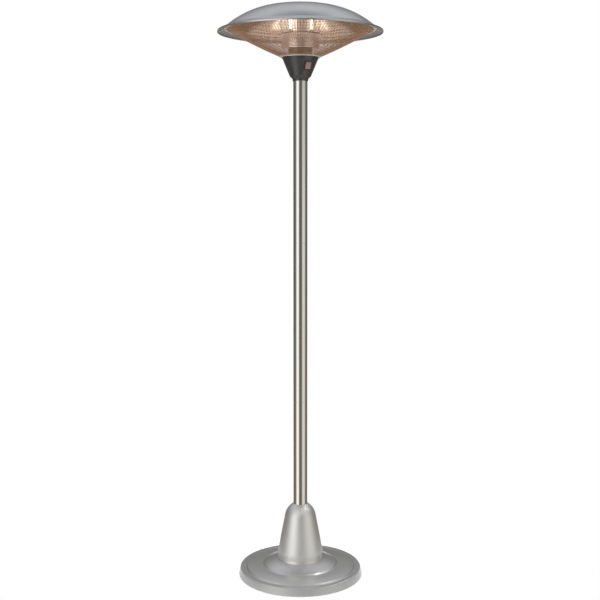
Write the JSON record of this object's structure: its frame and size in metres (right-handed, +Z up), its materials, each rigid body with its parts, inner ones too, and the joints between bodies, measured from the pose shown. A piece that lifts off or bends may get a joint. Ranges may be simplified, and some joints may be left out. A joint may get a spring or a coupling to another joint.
{
  "type": "patio heater",
  "caption": "Free-standing electric patio heater: weighted round base, trim cone, steel pole, rocker-switch housing and halogen lamps behind a wire guard under a domed hood.",
  "frame": {"origin": "centre of the base on the floor plane", "axes": "+Z up the pole, -Y to the front, +X to the right"},
  "size_m": [0.5758, 0.5758, 2.0451],
  "materials": {
    "hood_aluminium": "satin spun aluminium, brushed in circles",
    "base_paint": "silver powder coat, fine metallic",
    "cone_steel": "satin stainless steel, brushed upright",
    "pole_steel": "polished stainless tube with fine lengthwise brushing",
    "housing_black": "charcoal moulded plastic, fine grain, semi gloss",
    "switch_black": "black moulded plastic",
    "switch_red": "translucent red moulded plastic",
    "guard_wire": "copper-toned plated wire",
    "tower_metal": "polished aluminium, warm in the lamps' light",
    "quartz": "clear quartz",
    "filament": "glowing tungsten",
    "ceramic": "unglazed white ceramic",
    "zinc_steel": "zinc plated steel",
    "cast_iron": "rough casting, black",
    "rubber": "matt black rubber",
    "terminal_brass": "bright brass"
  },
  "bodies": {
    "stand": {"base_cover": "base_paint", "base_plate": "zinc_steel", "ballast": "cast_iron", "rubber_feet": "rubber", "foot_screws": "zinc_steel", "cable_gland": "switch_black", "gland_nut": "switch_black", "pole_flange": "zinc_steel", "flange_bolts": "zinc_steel", "flange_washers": "zinc_steel", "pole_lower": "pole_steel", "pole_middle": "pole_steel", "pole_upper": "pole_steel", "joint_sleeve_lower": "zinc_steel", "joint_sleeve_upper": "zinc_steel", "neck_collar": "housing_black", "control_housing": "housing_black", "head_chassis": "zinc_steel", "chassis_screws": "zinc_steel", "switch_frame": "switch_black", "switch_terminals": "terminal_brass", "terminal_block": "ceramic", "tip_switch_bracket": "zinc_steel", "guard_base_ring": "tower_metal", "guard_rods": "guard_wire", "guard_rings": "guard_wire", "guard_rim": "guard_wire", "guard_clips": "zinc_steel", "guard_rivets": "zinc_steel", "lamp_column": "tower_metal", "lamp_plate_lower": "tower_metal", "lamp_plate_upper": "tower_metal", "lamp_reflector": "tower_metal", "tie_rods": "zinc_steel", "tie_nuts": "zinc_steel", "lamp_cage": "guard_wire", "hood": "hood_aluminium", "hood_spacers": "zinc_steel", "hood_screws": "zinc_steel", "hood_nuts": "zinc_steel", "lamp_tube_1": "quartz", "lamp_filament_1": "filament", "lamp_caps_1": "ceramic", "lamp_holder_lower_1": "ceramic", "lamp_holder_upper_1": "ceramic", "lamp_tube_2": "quartz", "lamp_filament_2": "filament", "lamp_caps_2": "ceramic", "lamp_holder_lower_2": "ceramic", "lamp_holder_upper_2": "ceramic", "lamp_tube_3": "quartz", "lamp_filament_3": "filament", "lamp_caps_3": "ceramic", "lamp_holder_lower_3": "ceramic", "lamp_holder_upper_3": "ceramic"},
    "rocker": {"switch_rocker": "switch_red"},
    "cone_cover": {"foot_cone": "cone_steel"},
    "tip_pendulum": {"tip_switch_pendulum": "terminal_brass"}
  },
  "joints": [
    {"name": "rocker_tilt", "type": "hinge", "parent": "stand", "child": "rocker", "pos_m": [0.02563, -0.0453, 1.83411], "axis": [0.8704, 0.4924, 0], "range_deg": [0, 18]},
    {"name": "cone_lift", "type": "slide", "parent": "stand", "child": "cone_cover", "axis": [0, 0, 1], "range_m": [0, 0.3]},
    {"name": "tip_swing", "type": "hinge", "parent": "stand", "child": "tip_pendulum", "pos_m": [0, 0.0355, 1.8525], "axis": [1, 0, 0], "range_deg": [-20, 20]}
  ]
}
